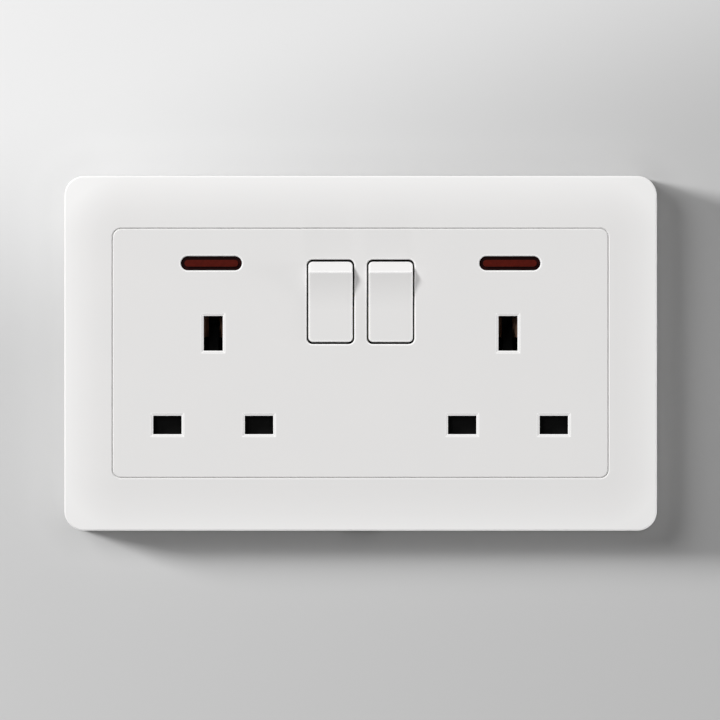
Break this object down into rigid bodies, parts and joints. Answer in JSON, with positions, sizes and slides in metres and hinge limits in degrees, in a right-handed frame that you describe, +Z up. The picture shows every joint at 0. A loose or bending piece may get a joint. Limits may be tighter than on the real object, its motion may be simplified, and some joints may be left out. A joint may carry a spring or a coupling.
{
  "type": "double wall socket",
  "caption": "Switched wall socket with a crowned surround, slotted panel, rocker switches, red indicator lenses, safety shutters, brass contacts and rear terminals.",
  "frame": {"origin": "centre of the plate on the wall plane", "axes": "+X to the right as seen from the front, +Z up, +Y into the wall; the front faces -Y"},
  "size_m": [0.1438, 0.0351, 0.086],
  "materials": {
    "white_plastic": "satin off-white moulding",
    "black_plastic": "matt black moulding",
    "shutter_plastic": "matt black moulding",
    "red_lens": "clear dark red moulding",
    "lamp_glass": "clear glass",
    "resistor_coat": "lacquered",
    "plunger_plastic": "natural nylon",
    "spring_steel": "bright drawn wire",
    "copper_alloy": "rolled strip",
    "silver": "satin contact face",
    "brass": "rolled and pressed strip",
    "terminal_brass": "machined",
    "zinc": "bright zinc plate"
  },
  "bodies": {
    "housing": {"outer_frame": "white_plastic", "front_panel": "white_plastic", "mounting_yoke": "black_plastic", "rear_base": "black_plastic", "neon_lens_left": "red_lens", "neon_lens_right": "red_lens", "neon_lamp_left": "lamp_glass", "neon_lamp_right": "lamp_glass", "resistor_left": "resistor_coat", "resistor_right": "resistor_coat", "shutter_spring_left": "spring_steel", "shutter_spring_right": "spring_steel", "fixed_tips": "silver", "line_bar": "brass", "line_contact_left": "brass", "line_contact_right": "brass", "neutral_bar": "brass", "earth_bar": "brass", "line_terminal": "terminal_brass", "neutral_terminal": "terminal_brass", "earth_terminals": "terminal_brass", "terminal_screws": "zinc", "housing_screws": "zinc", "fixing_screws": "zinc"},
    "rocker_left": {"rocker_left": "white_plastic", "plunger_spring_left": "spring_steel"},
    "plunger_left": {"plunger_left": "plunger_plastic"},
    "contact_left": {"switch_contact_left": "copper_alloy", "moving_tip_left": "silver"},
    "shutter_left": {"shutter_left": "shutter_plastic"},
    "rocker_right": {"rocker_right": "white_plastic", "plunger_spring_right": "spring_steel"},
    "plunger_right": {"plunger_right": "plunger_plastic"},
    "contact_right": {"switch_contact_right": "copper_alloy", "moving_tip_right": "silver"},
    "shutter_right": {"shutter_right": "shutter_plastic"}
  },
  "joints": [
    {"name": "rocker_left_tilt", "type": "hinge", "parent": "housing", "child": "rocker_left", "pos_m": [-0.00729, -0.0061, 0.01249], "axis": [-1, 0, 0], "range_deg": [0, 14]},
    {"name": "plunger_left_slide", "type": "slide", "parent": "rocker_left", "child": "plunger_left", "axis": [0, -0.9925, -0.1219], "range_m": [0, 0.0006], "stiffness_N_per_m": 600, "springref_m": -0.002, "deforming": ["plunger_spring_left"]},
    {"name": "contact_left_swing", "type": "hinge", "parent": "housing", "child": "contact_left", "pos_m": [-0.00729, 0.00535, 0.01249], "axis": [1, 0, 0], "range_deg": [0, 16]},
    {"name": "shutter_left_slide", "type": "slide", "parent": "housing", "child": "shutter_left", "axis": [0, 0, -1], "range_m": [0, 0.0056], "stiffness_N_per_m": 120, "springref_m": -0.004, "deforming": ["shutter_spring_left"]},
    {"name": "rocker_right_tilt", "type": "hinge", "parent": "housing", "child": "rocker_right", "pos_m": [0.00729, -0.0061, 0.01249], "axis": [-1, 0, 0], "range_deg": [0, 14]},
    {"name": "plunger_right_slide", "type": "slide", "parent": "rocker_right", "child": "plunger_right", "axis": [0, -0.9925, -0.1219], "range_m": [0, 0.0006], "stiffness_N_per_m": 600, "springref_m": -0.002, "deforming": ["plunger_spring_right"]},
    {"name": "contact_right_swing", "type": "hinge", "parent": "housing", "child": "contact_right", "pos_m": [0.00729, 0.00535, 0.01249], "axis": [1, 0, 0], "range_deg": [0, 16]},
    {"name": "shutter_right_slide", "type": "slide", "parent": "housing", "child": "shutter_right", "axis": [0, 0, -1], "range_m": [0, 0.0056], "stiffness_N_per_m": 120, "springref_m": -0.004, "deforming": ["shutter_spring_right"]}
  ],
  "couplings": [
    {"joint": "contact_left_swing", "follows": "rocker_left_tilt", "ratio": 1.1429},
    {"joint": "contact_right_swing", "follows": "rocker_right_tilt", "ratio": 1.1429}
  ]
}
